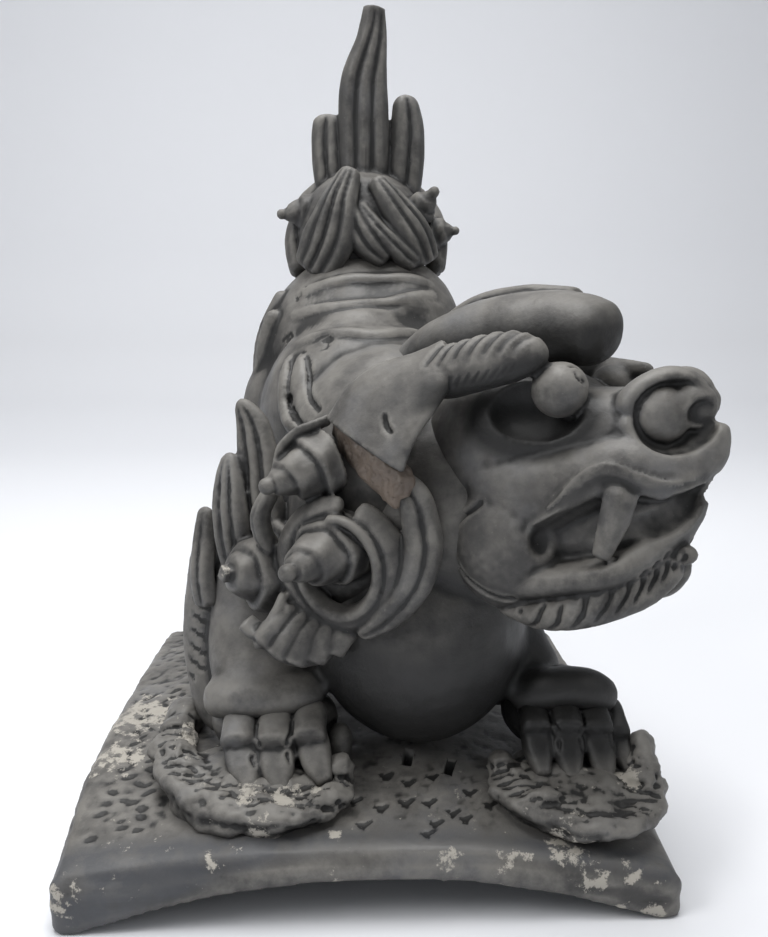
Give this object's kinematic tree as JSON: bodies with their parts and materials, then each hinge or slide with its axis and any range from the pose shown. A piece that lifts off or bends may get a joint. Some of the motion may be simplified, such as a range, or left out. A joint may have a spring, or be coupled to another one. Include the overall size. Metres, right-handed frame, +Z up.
{
  "type": "roof ridge beast ornament",
  "caption": "Crouching lion in grey fired clay with raised flame tail, open fanged mouth and curled mane, one piece with an arched ridge tile.",
  "frame": {"origin": "middle of the bounding box at its underside, where the tile rests", "axes": "+Z up, -Y towards the tile's front lip, +X to the right of someone facing the front; the head turns towards +X"},
  "size_m": [0.2744, 0.2658, 0.4025],
  "materials": {
    "smoked_tile": "matte"
  },
  "bodies": {
    "root": {"ridge_lion": "smoked_tile"}
  },
  "joints": []
}
